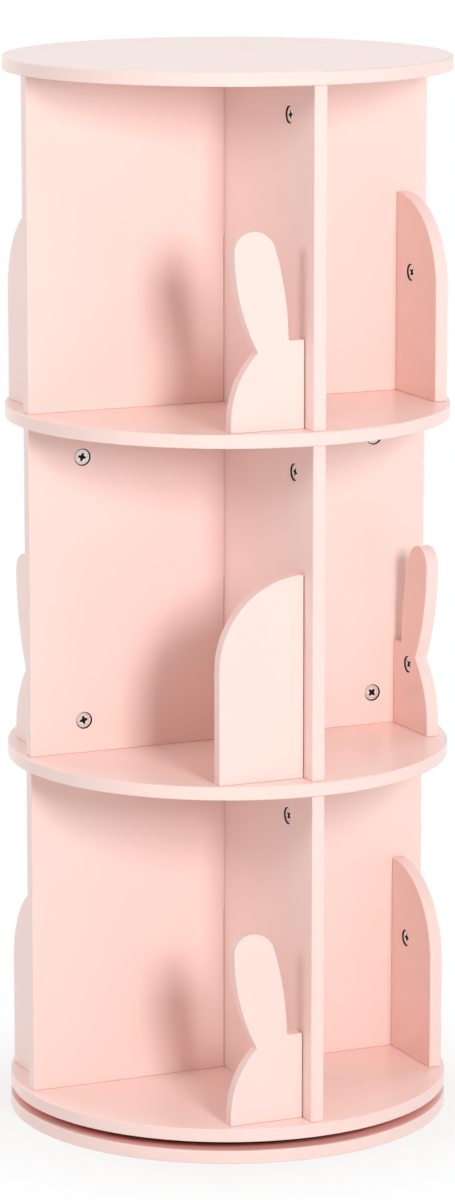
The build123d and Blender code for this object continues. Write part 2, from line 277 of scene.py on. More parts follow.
class Finish:
    """One procedural material, or the world, and the nodes that make it."""

    def __init__(self, name, owner=None):
        self.owner = owner or bpy.data.materials.new(name)
        self.owner.use_nodes = True
        self.look = bpy.context.scene.bookcase_finishes
        self.tree = self.owner.node_tree
        self.tree.nodes.clear()

    def node(self, kind, settings=None, inputs=None, output=0):
        """Adds a node, sets it up, fills or links its sockets, and returns one of its outputs."""
        made = self.tree.nodes.new(kind)
        for name, value in (settings or {}).items():
            if name == "stops":
                self.set_stops(made.color_ramp, value)
            else:
                setattr(made, name, value)
        for key, value in (inputs or {}).items():
            if isinstance(value, Socket):
                self.tree.links.new(value.output, made.inputs[key])
            else:
                made.inputs[key].default_value = value
        if len(made.outputs) == 0:
            return None
        return Socket(self, made.outputs[output])

    @staticmethod
    def set_stops(ramp, stops):
        while len(ramp.elements) < len(stops):
            ramp.elements.new(1.0)
        for element, (place, shade) in zip(ramp.elements, stops):
            element.position = place
            element.color = (shade, shade, shade, 1.0)

    def place(self):
        """Object coordinates, which are the bookcase's own metres."""
        return self.node("ShaderNodeTexCoord", output="Object")

    def axes(self):
        vector = self.place()
        return [self.node("ShaderNodeSeparateXYZ", inputs={0: vector}, output=i) for i in range(3)]

    def stretched(self, scale):
        return self.node("ShaderNodeMapping", inputs={"Vector": self.place(), "Scale": scale})

    def noise(self, size, detail, vector=None):
        """Noise from 0 to 1 whose patches are about this size across, in metres."""
        inputs = {"Vector": vector or self.place(), "Scale": 1.0 / size, "Detail": detail}
        return self.node("ShaderNodeTexNoise", inputs=inputs)

    def recess(self):
        """How far painted shade darkens a fitting, which its mesh carries at each point."""
        return self.node("ShaderNodeAttribute", {"attribute_name": "recess"}, output="Fac")

    def ramp(self, value, *stops):
        """Shade of a value, from stops that are each (value, shade)."""
        return self.node("ShaderNodeValToRGB", {"stops": stops}, {0: value})

    def mix(self, factor, first, second):
        """Colour between two colours."""
        inputs = {0: factor}
        for key, colour in ((6, first), (7, second)):
            inputs[key] = colour if isinstance(colour, Socket) else (*colour, 1.0)
        return self.node("ShaderNodeMix", {"data_type": "RGBA"}, inputs, output=2)

    def bump(self, height, distance):
        return self.node("ShaderNodeBump", inputs={"Height": height, "Distance": distance})

    def surface(self, **inputs):
        """Ends the material in a Principled shader. Socket names are written with underscores."""
        named = {name.replace("_", " "): value for name, value in inputs.items()}
        shader = self.node("ShaderNodeBsdfPrincipled", inputs=named)
        self.node("ShaderNodeOutputMaterial", inputs={"Surface": shader})
        return self.owner


def tint(colour, factor):
    return tuple(min(1.0, channel * factor) for channel in colour)


def span(first, second):
    """Length of the long side over two sides at a right angle."""
    return (first * first + second * second) ** 0.5


def lacquer(name, bare_and_shaded=None):
    """Satin lacquer sprayed on fibre board: faint clouds, fine mottling and orange peel.

    The optional mask, a function of the finish, covers the raw board in the cam holes, whose colour is darkened
    as painted shade, and the painted shade in the turntable's gap. It gives 1 where the near-black shows, and
    less at the gap's mouth, where a deeper pink is painted as shade.
    """
    finish = Finish(name)
    look = finish.look
    cloud_size, grain_size, patch_size, wave_size, fibre_size = 0.11, 0.006, 0.035, 0.018, 0.0007
    cloud_weight, grain_weight, wave_weight, fibre_weight = 0.55, 0.25, 1.6, 6.0
    roughness_range, raw_roughness = 0.10, 0.92
    clouds = finish.ramp(finish.noise(cloud_size, 3.0), (0.32, 0.0), (0.70, 1.0))
    grain = finish.ramp(finish.noise(grain_size, 2.0), (0.35, 0.0), (0.75, 1.0))
    mottling = clouds * cloud_weight + grain * grain_weight
    colour = finish.mix(mottling, look.lacquer, look.lacquer_cloud)
    patches = finish.noise(patch_size, 3.0)
    roughness = look.lacquer_roughness + patches * roughness_range - roughness_range / 2
    height = finish.noise(look.peel_size, 1.0) + finish.noise(wave_size, 1.0) * wave_weight
    coat = look.lacquer_coat
    if bare_and_shaded is not None:
        mask = bare_and_shaded(finish)
        covered = 1.0 - mask
        fibres = finish.noise(fibre_size, 3.0)
        # Near-black board colour: raw board in the cam holes, darkened as painted shade, and painted shade in
        # the turntable's gap
        raw = finish.mix(fibres, tint(look.raw_board_and_shade, 0.6), tint(look.raw_board_and_shade, 1.35))
        # Painted shade: a deeper pink at the gap's mouth, then the near-black further in
        pink_shade_share = finish.ramp(mask, (0.0, 0.0), (0.25, 1.0))
        board_shade_share = finish.ramp(mask, (0.45, 0.0), (1.0, 1.0))
        colour = finish.mix(board_shade_share, finish.mix(pink_shade_share, colour, look.gap_mouth_shade), raw)
        roughness = roughness * covered + raw_roughness * mask
        height = height * covered + fibres * mask * fibre_weight
        coat = coat * covered
    return finish.surface(Base_Color=colour, Roughness=roughness, Coat_Weight=coat,
                          Coat_Roughness=look.coat_roughness,
                          Normal=finish.bump(height, look.peel_height))


# Margins of the masks: round a cam hole, of the board behind it that stays lacquered, and past the gap's faces
hole_margin = 0.00005
hole_back = 0.001
gap_margin = 0.0004


def turntable_gap_shade(finish):
    """Mask of the painted shade on the two faces that look at each other across the turntable's gap.

    By distance from the axis, from full lacquer at the gap's mouth, a deeper pink and then the near-black
    colour of raw board are painted as shade further into the gap.
    """
    x, y, z = finish.axes()
    inward = (overspray_outer - span(x, y)) / (overspray_outer - gap_shade_inner)
    # Share of the near-black board colour painted as shade
    raw = finish.ramp(inward, (0.0, 0.0), (1.0, 1.0))
    gap_middle = (gap_floor + gap_ceiling) / 2
    half_gap = (gap_ceiling - gap_floor) / 2
    return raw * (abs(z - gap_middle) < half_gap + gap_margin)


def divider_hole(across, side, reach):
    """Mask of a divider's four cam holes.

    Distance from a hole's middle: |along| - reach sideways, and up or down from the nearer of the two heights,
    which lie at the same setback from the foot and the top. The wood behind a hole keeps its lacquer.
    """
    cams = bpy.context.scene.bookcase_cams

    def mask(finish):
        axes = finish.axes()
        sideways = abs(axes[1 - across]) - reach
        height = (axes[2] - tier_floors[0]) % tier_pitch
        middle = divider_height / 2
        upright = abs(height - middle) - (middle - cams.setback)
        inside = span(sideways, upright) < cams.hole_radius + hole_margin
        return inside * (axes[across] * side > hole_back - half_board)

    return mask


def bookend_hole(cam_height):
    """Mask of a bookend's cam hole, the same for all four sides of the bookcase.

    The hole's middle lies at a fixed distance from the plane of its divider, which is the smaller of |x| and
    |y|, and the larger of the two is the depth.
    """
    cams = bpy.context.scene.bookcase_cams
    reach = half_board + cams.setback

    def mask(finish):
        x, y, z = finish.axes()
        sideways = abs(x).smaller(abs(y)) - reach
        depth = abs(x).larger(abs(y))
        upright = (z - tier_floors[0]) % tier_pitch - cam_height
        inside = span(sideways, upright) < cams.hole_radius + hole_margin
        return inside * (depth < bookend_outer_face - hole_back)

    return mask


def nickel_plate():
    """Nickel-plated zinc casting: soft waves, dull patches, and painted shade in the recess, the ring and the
    edge.
    """
    finish = Finish("cam_nickel_plate")
    look = finish.look
    dull_size, wave_size, wave_height = 0.0022, 0.0009, 0.00004
    # Near-black colour of the painted shade
    painted_shade = (0.012, 0.010, 0.009)
    recess = finish.recess()
    dull = finish.ramp(finish.noise(dull_size, 3.0), (0.35, 0.0), (0.70, 1.0))
    unshaded = finish.mix(dull, look.nickel, tint(look.nickel, 0.9))
    return finish.surface(Base_Color=finish.mix(recess, unshaded, painted_shade), Metallic=0.65 - dull * 0.25,
                          Roughness=0.24 + dull * 0.16 + recess * 0.4,
                          Normal=finish.bump(finish.noise(wave_size, 2.0), wave_height))


def zinc_plate(name):
    """Zinc plating on turned steel: bluish patches, fine turning marks, and painted shade in the cross recess.
    """
    finish = Finish(name)
    look = finish.look
    patch_size, mark_size, mark_height = 0.004, 0.0005, 0.00002
    # Dark colour of the painted shade in the cross recess
    painted_shade = (0.03, 0.028, 0.026)
    patches = finish.noise(patch_size, 3.0)
    unshaded = finish.mix(patches, look.zinc, tint(look.zinc, 0.78))
    return finish.surface(Base_Color=finish.mix(finish.recess() * 0.8, unshaded, painted_shade), Metallic=1.0,
                          Roughness=0.28 + patches * 0.2,
                          Normal=finish.bump(finish.noise(mark_size, 2.0), mark_height))


def turned_aluminium():
    """Aluminium turned on a lathe: rings of tool marks round the axis."""
    finish = Finish("ring_turned_aluminium")
    look = finish.look
    marks_per_metre, mark_height, patch_size = 3200.0, 0.00003, 0.02
    x, y, z = finish.axes()
    lines = finish.node("ShaderNodeTexNoise", {"noise_dimensions": "1D"},
                        {"W": span(x, y) + z, "Scale": marks_per_metre, "Detail": 2.0})
    patches = finish.noise(patch_size, 2.0)
    return finish.surface(Base_Color=finish.mix(lines, tint(look.aluminium, 0.86), look.aluminium),
                          Metallic=1.0, Roughness=0.26 + lines * 0.14 + patches * 0.08,
                          Normal=finish.bump(lines, mark_height))


def polished_steel():
    """Polished bearing steel with a film of grease in patches."""
    finish = Finish("ball_polished_steel")
    look = finish.look
    grease_size = 0.003
    grease = finish.ramp(finish.noise(grease_size, 2.0), (0.45, 0.0), (0.70, 1.0))
    return finish.surface(Base_Color=finish.mix(grease, look.steel, tint(look.steel, 0.7)), Metallic=1.0,
                          Roughness=0.08 + grease * 0.22)


def moulded_nylon():
    """Moulded nylon: milky, with a fine spark-eroded grain."""
    finish = Finish("cage_moulded_nylon")
    look = finish.look
    milk_size, grain_size, grain_height = 0.012, 0.0005, 0.00002
    milk = finish.noise(milk_size, 2.0)
    return finish.surface(Base_Color=finish.mix(milk, look.nylon, tint(look.nylon, 0.9)),
                          Roughness=0.42 + milk * 0.12,
                          Normal=finish.bump(finish.noise(grain_size, 1.0), grain_height))


def raw_beech():
    """Raw beech: pores and pale rays in short streaks, which run level as the dowels do."""
    finish = Finish("dowel_raw_beech")
    look = finish.look
    streak_size, streak_height, squeeze = 0.0012, 0.00006, (0.25, 0.25, 1.0)
    streaks = finish.noise(streak_size, 3.0, finish.stretched(squeeze))
    return finish.surface(Base_Color=finish.mix(streaks, tint(look.beech, 0.8), tint(look.beech, 1.15)),
                          Roughness=0.62 + streaks * 0.15,
                          Normal=finish.bump(streaks, streak_height))


def give(names, material):
    """Puts one material on the CAD nodes of these names."""
    for name in names:
        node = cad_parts[name]
        node.data.materials.clear()
        node.data.materials.append(material)


# Fittings

# Directions in the bookcase that a fitting's own x, y and z take, by the way that the fitting points
POINTING = {
    "up": ((1, 0, 0), (0, 1, 0), (0, 0, 1)),
    "down": ((1, 0, 0), (0, -1, 0), (0, 0, -1)),
    "left": ((0, 0, 1), (0, 1, 0), (-1, 0, 0)),
    "back": ((-1, 0, 0), (0, 0, 1), (0, 1, 0)),
}
# Edges of the fittings that turn by more than this are sharp
sharp_angle = math.radians(40)
# Random seeds set aside for the cams of each tier
seeds_per_tier = 10


def smooth_step(value, edge):
    """0 below 0, 1 above edge, and 3t^2 - 2t^3 between."""
    share = np.clip(value / edge, 0.0, 1.0)
    return share * share * (3.0 - 2.0 * share)


def cross_recess(x, y, reach, width, tip):
    """Share of a cross recess's depth at points of a face, and where painted shade darkens it.

    The arms narrow from the middle to the tip and grow shallow there. An arm along x holds the points with |y|
    below half its width at |x|, and its wall is a smooth step. Painted shade reaches a little past the wall.
    """
    wall, painted_shade_reach, rise = 0.0004, 0.0004, 0.6
    along = np.maximum(np.abs(x), np.abs(y))
    off_arm = np.minimum(np.abs(x), np.abs(y))
    share = np.clip(along / reach, 0.0, 1.0)
    half_width = (width + (tip - width) * share) / 2
    inside = np.minimum(half_width - off_arm, reach - along)
    depth = smooth_step(inside + wall / 4, wall) * (1.0 - rise * share)
    return depth, smooth_step(inside + painted_shade_reach, painted_shade_reach)


def ring_angles(steps):
    return np.linspace(0.0, 2 * math.pi, steps, endpoint=False)


def cam_stations(cams):
    """Radius, height and slotted of a cam's rings, from the middle of its face, over the wall, to its back.

    The number of rings on the face comes last. They lie closer together on the cross than outside it. The rings
    in the slot's height are a little smaller, and are slotted.
    """
    cross_rings, outer_rings = 26, 22
    cross_end, outer_start = 1.12 * cams.cross_reach, 1.18 * cams.cross_reach
    face = np.concatenate([
        np.linspace(0.0, cross_end, cross_rings),
        np.linspace(outer_start, cams.radius - cams.chamfer, outer_rings),
    ])
    low, high = 0.3 * cams.chamfer, 0.7 * cams.chamfer
    bolt_depth = half_board - cams.sink
    slot_top = bolt_depth - cams.slot_height / 2
    slot_foot = bolt_depth + cams.slot_height / 2
    slot_radius = cams.radius - cams.slot_relief
    wall = np.array([
        (cams.radius - high, low, 0),
        (cams.radius - low, high, 0),
        (cams.radius, cams.chamfer, 0),
        (cams.radius, slot_top, 0),
        (slot_radius, slot_top, 1),
        (slot_radius, slot_foot, 1),
        (cams.radius, slot_foot, 0),
        (cams.radius, cams.thickness - cams.chamfer, 0),
        (cams.radius - cams.chamfer, cams.thickness, 0),
        (0.0, cams.thickness, 0),
    ])
    radius = np.concatenate([face, wall[:, 0]])
    height = np.concatenate([np.zeros(len(face)), -wall[:, 1]])
    slotted = np.concatenate([np.zeros(len(face)), wall[:, 2]])
    return radius, height, slotted, len(face)


def cam_surface(cams):
    """One cam as a grid of rings and steps, with its middle as a pole at each end.

    The face is a height over the disc, less a ring groove with a round bottom and a cross recess. With the
    points come how far painted shade darkens them, in the recess, in the ring and round the edge, and which
    are slotted.
    """
    ring_painted_shade = 0.35
    radius, height, slotted, face_rings = cam_stations(cams)
    angle = ring_angles(cams.steps)
    x = radius[:, None] * np.cos(angle)
    y = radius[:, None] * np.sin(angle)
    cross, painted_shade = cross_recess(x, y, cams.cross_reach, cams.cross_width, cams.cross_tip)
    off_ring = (radius[:, None] - cams.groove_radius) / (cams.groove_width / 2)
    ring = np.sqrt(np.clip(1.0 - off_ring ** 2, 0.0, 1.0)) + 0.0 * x
    on_face = (np.arange(len(radius)) < face_rings)[:, None]
    z = height[:, None] - on_face * (cross * cams.cross_depth + ring * cams.groove_depth)
    edge = smooth_step(height + 2 * cams.chamfer, cams.chamfer)[:, None]
    # Painted shade: the cross recess, the cast ring, and the wall and chamfer below the face, a dark ring round
    # the cam
    recess = np.where(on_face, np.clip(painted_shade + ring_painted_shade * ring, 0.0, 1.0), edge)
    return x, y, z, recess, slotted[:, None] + 0.0 * x


def thread_ridge(height, angle, pitch):
    """Screw thread: 1 on the ridge and 0 in the groove of a right-hand helix, with straight flanks between."""
    flank_foot, flank_width = 0.75, 0.63
    turn = (height / pitch - angle / (2 * math.pi)) % 1.0
    return np.clip((flank_foot - np.abs(2.0 * turn - 1.0)) / flank_width, 0.0, 1.0)


def turned_surface(outline, threads, pitch, thread_depth, steps, face_rings, cross):
    """A turned piece with a thread, as a grid of rings from the middle of its head to its tip.

    outline is (radius, height) from the top down. threads is (from height, to height) of the thread, which runs
    out over half a pitch at each end. cross is (reach, width, tip, depth) of the recess in the head's face.
    """
    radius, height = np.array(outline).T
    angle = ring_angles(steps)
    top, foot = threads
    run_out = pitch / 2
    threaded = np.clip((top - height) / run_out, 0.0, 1.0) * np.clip((height - foot) / run_out, 0.0, 1.0)
    ridge = thread_ridge(height[:, None], angle, pitch)
    swept = radius[:, None] - threaded[:, None] * thread_depth * (1.0 - ridge)
    x, y = swept * np.cos(angle), swept * np.sin(angle)
    reach, width, tip, depth = cross
    # Painted shade darkens the head's cross recess and a little past its wall
    share, painted_shade = cross_recess(x, y, reach, width, tip)
    on_face = (np.arange(len(radius)) < face_rings)[:, None]
    return x, y, height[:, None] - on_face * share * depth, on_face * painted_shade


def run(first, last, count):
    """Points from one (radius, height) to another in equal steps, the first left out."""
    share = np.arange(1, count + 1)[:, None] / count
    return (np.array(first) + (np.array(last) - np.array(first)) * share).tolist()


def bolt_surface(sizes, cams):
    """Cam bolt: head with a cross recess, neck, shank with two turned rings, and thread with a blunt tip."""
    head, neck = sizes.bolt_head_radius, sizes.bolt_neck_radius
    shank, thread = sizes.bolt_shank_radius, sizes.bolt_thread_radius
    head_top = cams.setback + sizes.bolt_head_length / 2
    head_foot = cams.setback - sizes.bolt_head_length / 2
    shank_end, tip = sizes.bolt_shank_end, -sizes.bolt_thread_length
    ease, tip_length, tip_radius = 0.0003, 0.0012, 0.0016
    face_rings, thread_rings, tip_rings = 20, 76, 10
    turned_rings = (0.82 * shank_end, 0.18 * shank_end)
    cross = (0.62 * head, 0.0016, 0.0007, 0.0011)
    face = [(0.0, head_top)] + run((0.0, head_top), (head - 2 * ease, head_top), face_rings)
    body = [(head, head_top - 2 * ease), (head, head_foot + ease), (head - ease, head_foot),
            (neck + ease, head_foot), (neck, head_foot - ease), (neck, shank_end + ease),
            (neck + ease, shank_end), (shank - ease, shank_end), (shank, shank_end - ease)]
    for middle in turned_rings:
        body += [(shank, middle + 2 * ease), (shank - ease, middle + ease), (shank - ease, middle - ease),
                 (shank, middle - 2 * ease)]
    body += [(shank, ease), (shank - ease, 0.0), (thread, 0.0)]
    thread_end = (thread, tip + tip_length)
    screwed = run((thread, 0.0), thread_end, thread_rings)
    screwed += run(thread_end, (tip_radius, tip), tip_rings)
    return turned_surface(face + body + screwed + [(0.0, tip)], (0.0, tip),
                          sizes.bolt_pitch, sizes.thread_depth, sizes.steps, len(face), cross)


def screw_surface(sizes, length):
    """Countersunk screw, head up: cross recess, lip, cone, thread and point."""
    head, shank = sizes.screw_head_radius, sizes.screw_radius
    lip, cone = -sizes.screw_head_lip, -sizes.screw_head_depth
    ease, point_length, point_radius, plain_point = 0.0001, 0.0028, 0.0002, 0.0005
    face_rings, thread_rings, point_rings = 26, 110, 30
    thread_depth = 0.8 * sizes.thread_depth
    cross = (0.0022, 0.0015, 0.0008, 0.0014)
    face = [(0.0, 0.0)] + run((0.0, 0.0), (head - ease, 0.0), face_rings)
    body = [(head, -ease), (head, lip), (shank, cone)]
    thread_end = (shank, point_length - length)
    screwed = run((shank, cone), thread_end, thread_rings)
    screwed += run(thread_end, (point_radius, -length), point_rings)
    return turned_surface(face + body + screwed + [(0.0, -length)], (cone, plain_point - length),
                          sizes.screw_pitch, thread_depth, sizes.steps, len(face), cross)


def dowel_surface(sizes):
    """Dowel with chamfered ends and straight glue flutes.

    Between the ends: radius - depth * (half of 1 + cos(flutes * angle))^2.
    """
    rings, steps_per_flute = 24, 8
    top, foot = sizes.dowel_depth, -sizes.dowel_bite
    side, edge = sizes.dowel_radius, sizes.dowel_chamfer
    outline = [(0.0, top), (side - edge, top), (side, top - edge)]
    outline += run((side, top - edge), (side, foot + edge), rings)
    outline += [(side - edge, foot), (0.0, foot)]
    radius, height = np.array(outline).T
    angle = ring_angles(sizes.dowel_flutes * steps_per_flute)
    fluted = np.clip(np.minimum(top - edge - height, height - foot - edge) / edge, 0.0, 1.0)
    flute = (0.5 + 0.5 * np.cos(sizes.dowel_flutes * angle)) ** 2
    swept = radius[:, None] - fluted[:, None] * sizes.flute_depth * flute
    x, y = swept * np.cos(angle), swept * np.sin(angle)
    return x, y, height[:, None] + 0.0 * x, 0.0 * x


def ring_quads(first, steps):
    """Faces between each ring of points and the next. first holds the numbers of the rings' first points."""
    step = np.arange(steps)
    after = (step + 1) % steps
    ring = first[:, None]
    after_ring = ring + steps
    corners = [ring + step, after_ring + step, after_ring + after, ring + after]
    return np.stack(corners, axis=-1).reshape(-1, 4)


def ring_faces(rings, steps):
    """Quads and triangles of a closed surface of rings whose first and last ring are single points."""
    quads = ring_quads(1 + np.arange(rings - 3) * steps, steps)
    step = np.arange(steps)
    after = (step + 1) % steps
    last = 1 + (rings - 2) * steps
    base = last - steps
    cap = np.stack([np.zeros_like(step), 1 + step, 1 + after], axis=-1)
    foot = np.stack([np.full_like(step, last), base + after, base + step], axis=-1)
    return quads, np.concatenate([cap, foot])


def ends_closed(grid):
    """Values of a ring grid as one list, with the two end rings drawn together to points."""
    return np.concatenate([grid[:1, 0], grid[1:-1].reshape(-1, *grid.shape[2:]), grid[-1:, 0]])


def divider_joints(level):
    """(quarter turns, side * reach, height, direction into the divider) of one tier's eight divider joints."""
    cams = bpy.context.scene.bookcase_cams
    quarter = level % 2
    ends = ((tier_floors[level], 1), (tier_floors[level] + divider_height, -1))
    reaches = ((quarter, cams.arch_reach), (quarter + 1, cams.rabbit_reach))
    return [(turns, side * reach, height, inward)
            for turns, reach in reaches for height, inward in ends for side in (-1, 1)]


def bookend_joints(level, arch_height, rabbit_height):
    """(quarter turns, height) of one fitting in each of a tier's four bookends."""
    heights = [rabbit_height if (turns - level) % 2 == 0 else arch_height for turns in QUARTERS]
    return [(turns, tier_floors[level] + height) for turns, height in enumerate(heights)]


def bookend_places(level, arch_height, rabbit_height):
    """Joints of a tier's bookends with their dividers, for a fitting that points into the bookend."""
    middle = (bookend_outer_face + bookend_inner_face) / 2
    return [(turns, (-half_board, -middle, height), "left")
            for turns, height in bookend_joints(level, arch_height, rabbit_height)]


def build_fittings(name, local, recess, shape, places, material, body, node):
    """All copies of one fitting in one mesh, which stands for a CAD node.

    local holds the points of one copy, or of each. A copy's own x, y and z take the directions of its pointing,
    from its place, and the copy is then turned about the bookcase's axis by its quarter turns.
    """
    turn = np.array([turns for turns, place, pointing in places])[:, None] * math.pi / 2
    start = np.array([place for turns, place, pointing in places])[:, None, :]
    directions = np.array([POINTING[pointing] for turns, place, pointing in places])
    x, y, z = np.moveaxis(start + np.matmul(local, directions), -1, 0)
    cosine, sine = np.cos(turn), np.sin(turn)
    points = np.stack([x * cosine - y * sine, x * sine + y * cosine, z], axis=-1)
    quads, triangles = ring_faces(*shape)
    offset = (np.arange(len(places)) * len(recess))[:, None, None]
    faces = (quads + offset).reshape(-1, 4).tolist() + (triangles + offset).reshape(-1, 3).tolist()
    mesh = bpy.data.meshes.new(name)
    mesh.from_pydata(points.reshape(-1, 3), [], faces)
    # The recess attribute holds how far painted shade darkens each point
    mesh.attributes.new("recess", "FLOAT", "POINT").data.foreach_set("value", np.tile(recess, len(places)))
    mesh.polygons.foreach_set("use_smooth", np.ones(len(faces), bool))
    mesh.set_sharp_from_angle(angle=sharp_angle)
    mesh.update()
    mesh.materials.append(material)
    piece = bpy.data.objects.new(name, mesh)
    bpy.context.scene.collection.objects.link(piece)
    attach(piece, body)
    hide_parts(node)


def build_turned(name, surface, places, material, body, node):
    """Copies of a turned fitting."""
    x, y, z, recess = surface
    local = ends_closed(np.stack([x, y, z], axis=-1))
    build_fittings(name, local, ends_closed(recess), x.shape, places, material, body, node)


def build_cam_set(name, places, bolt_sides, material, node, seed):
    """Cams of one CAD node. Each is screwed home to its own angle, and its slot opens towards its bolt.

    Of the slot's rings, the arc that faces the bolt becomes a chord that lies slot_back behind the middle: a
    point's angle from the bolt, as a share of the arc's, is its place along half the chord.
    """
    cams = bpy.context.scene.bookcase_cams
    x, y, z, recess, slotted = cam_surface(cams)
    points = ends_closed(np.stack([x, y, z], axis=-1))
    open_side = ends_closed(slotted)
    home = np.random.default_rng(seed).uniform(0.0, math.pi / 2, len(places))
    cosine, sine = np.cos(home)[:, None], np.sin(home)[:, None]
    sideways = cosine * points[:, 0] - sine * points[:, 1]
    upward = sine * points[:, 0] + cosine * points[:, 1]
    bolt_x, bolt_y = np.array(bolt_sides).T[:, :, None]
    from_bolt = np.arctan2(bolt_x * upward - bolt_y * sideways, bolt_x * sideways + bolt_y * upward)
    slot_radius = cams.radius - cams.slot_relief
    arc = math.acos(-cams.slot_back / slot_radius)
    cross = from_bolt / arc * slot_radius * math.sin(arc)
    in_slot = (open_side > 0) & (np.abs(from_bolt) < arc)
    local = np.stack([
        np.where(in_slot, -cams.slot_back * bolt_x - cross * bolt_y, sideways),
        np.where(in_slot, -cams.slot_back * bolt_y + cross * bolt_x, upward),
        np.broadcast_to(points[:, 2], sideways.shape),
    ], axis=-1)
    build_fittings(name, local, ends_closed(recess), x.shape, places, material, "carousel", node)


# Stage

# Lamps: name, place, width, height, and the setting that holds the power
LAMPS = (
    ("key_softbox", (0.0, -3.05, 1.5), 0.7, 0.95, "key_power"),
    ("left_softbox", (-2.9, -0.15, 1.9), 0.8, 0.8, "left_power"),
    ("top_softbox", (0.0, -0.6, 2.8), 1.6, 1.6, "top_power"),
    ("right_softbox", (2.7, 1.1, 1.3), 1.6, 2.2, "right_power"),
    ("back_softbox", (-1.3, 3.0, 1.6), 1.8, 2.2, "back_power"),
)
# Point in the middle of the bookcase that the lamps face
lamp_aim = (0.0, 0.0, 0.5)
# Length of the camera's sensor in millimetres
sensor_length = 36.0


def floor_disc(radius):
    """Flat disc: rings at radii that grow by equal ratios, joined by straight spokes."""
    steps, rings, inner_radius = 96, 24, 0.1
    radii = np.geomspace(inner_radius, radius, rings)
    angle = ring_angles(steps)
    x = radii[:, None] * np.cos(angle)
    y = radii[:, None] * np.sin(angle)
    points = np.stack([x, y, np.zeros_like(x)], axis=-1).reshape(-1, 3)
    quads = ring_quads(np.arange(rings - 1) * steps, steps)
    mesh = bpy.data.meshes.new("floor")
    mesh.from_pydata(points, [], quads.tolist() + [list(range(steps))])
    mesh.update()
    floor = bpy.data.objects.new("floor", mesh)
    bpy.context.scene.collection.objects.link(floor)
    return floor


def seen_rays(finish):
    """1 for rays that see the background: from the camera, in reflections and through glass."""
    rays = finish.node("ShaderNodeLightPath", output="Is Camera Ray")
    for kind in ("Is Glossy Ray", "Is Transmission Ray"):
        rays = rays + finish.node("ShaderNodeLightPath", output=kind)
    return rays.smaller(1.0)


def floor_paint():
    """Pale floor with the bookcase's shadow, which fades into the white background further out."""
    stage = bpy.context.scene.bookcase_stage
    finish = Finish("floor_paint")
    fade_start, fade_width, near_white, speckle_size = 0.20, 0.14, 0.72, 0.03
    x, y = finish.axes()[:2]
    far = finish.ramp((span(x, y) - fade_start) / fade_width, (0.0, near_white), (1.0, 1.0))
    speckle = finish.noise(speckle_size, 3.0)
    paint = finish.mix(speckle, stage.floor_colour, tint(stage.floor_colour, 0.985))
    plain = finish.node("ShaderNodeBsdfDiffuse", inputs={"Color": paint})
    white = finish.node("ShaderNodeEmission", inputs={"Color": (1, 1, 1, 1), "Strength": 1.0})
    mixed = finish.node("ShaderNodeMixShader", inputs={0: far * seen_rays(finish), 1: plain, 2: white})
    finish.node("ShaderNodeOutputMaterial", inputs={"Surface": mixed})
    return finish.owner


def white_world():
    """Even light from all round, which the camera and reflections see as white."""
    stage = bpy.context.scene.bookcase_stage
    world = bpy.data.worlds.new("studio")
    bpy.context.scene.world = world
    finish = Finish("studio", world)
    light = finish.node("ShaderNodeBackground", inputs={"Color": (1, 1, 1, 1), "Strength": stage.ambient})
    white = finish.node("ShaderNodeBackground", inputs={"Color": (1, 1, 1, 1), "Strength": 1.0})
    mixed = finish.node("ShaderNodeMixShader", inputs={0: seen_rays(finish), 1: light, 2: white})
    finish.node("ShaderNodeOutputWorld", inputs={"Surface": mixed})


def softbox(name, place, width, height, power):
    """Rectangular soft lamp that faces the bookcase. Gloss shows the white studio and not the lamp."""
    lamp = bpy.data.lights.new(name, "AREA")
    lamp.shape = "RECTANGLE"
    lamp.size = width
    lamp.size_y = height
    lamp.energy = power
    holder = bpy.data.objects.new(name, lamp)
    holder.location = place
    holder.rotation_euler = (Vector(lamp_aim) - Vector(place)).to_track_quat("-Z", "Y").to_euler()
    holder.visible_glossy = False
    bpy.context.scene.collection.objects.link(holder)


# Operators


class BOOKCASE_OT_finish_round_boards(Operator):
    """Lacquers the base board, the shelves and the top board"""

    bl_idname = "bookcase.finish_round_boards"
    bl_label = "Round boards"

    def execute(self, context):
        give(SHELVES[1:], lacquer("pink_lacquer_round_boards"))
        # The boards round the turntable carry painted shade in its gap
        give(("base_board", SHELVES[0]), lacquer("pink_lacquer_turntable_boards", turntable_gap_shade))
        return {"FINISHED"}


class BOOKCASE_OT_finish_dividers(Operator):
    """Lacquers the crossed dividers, and leaves raw board in their cam holes"""

    bl_idname = "bookcase.finish_dividers"
    bl_label = "Dividers"

    def execute(self, context):
        cams = context.scene.bookcase_cams
        outer, inner = TIERS[0::2], TIERS[1::2]
        # Tiers, direction of the divider, axis across it, side of its cam holes, and reach of these
        sets = (
            (outer, "left_right", 1, 1, cams.arch_reach),
            (outer, "front_back", 0, -1, cams.rabbit_reach),
            (inner, "left_right", 1, -1, cams.rabbit_reach),
            (inner, "front_back", 0, -1, cams.arch_reach),
        )
        for tiers, direction, across, side, reach in sets:
            paint = lacquer(f"pink_lacquer_{tiers[0]}_{direction}", divider_hole(across, side, reach))
            give([f"{tier}_{direction}_divider" for tier in tiers], paint)
        return {"FINISHED"}


class BOOKCASE_OT_finish_bookends(Operator):
    """Lacquers the arch and rabbit bookends, and leaves raw board in their cam holes"""

    bl_idname = "bookcase.finish_bookends"
    bl_label = "Bookends"

    def execute(self, context):
        cams = context.scene.bookcase_cams
        for kind, height in (("arch", cams.arch_height), ("rabbit", cams.rabbit_height)):
            names = [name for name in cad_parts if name.endswith(f"_{kind}_bookend")]
            give(names, lacquer(f"pink_lacquer_{kind}_bookends", bookend_hole(height)))
        return {"FINISHED"}


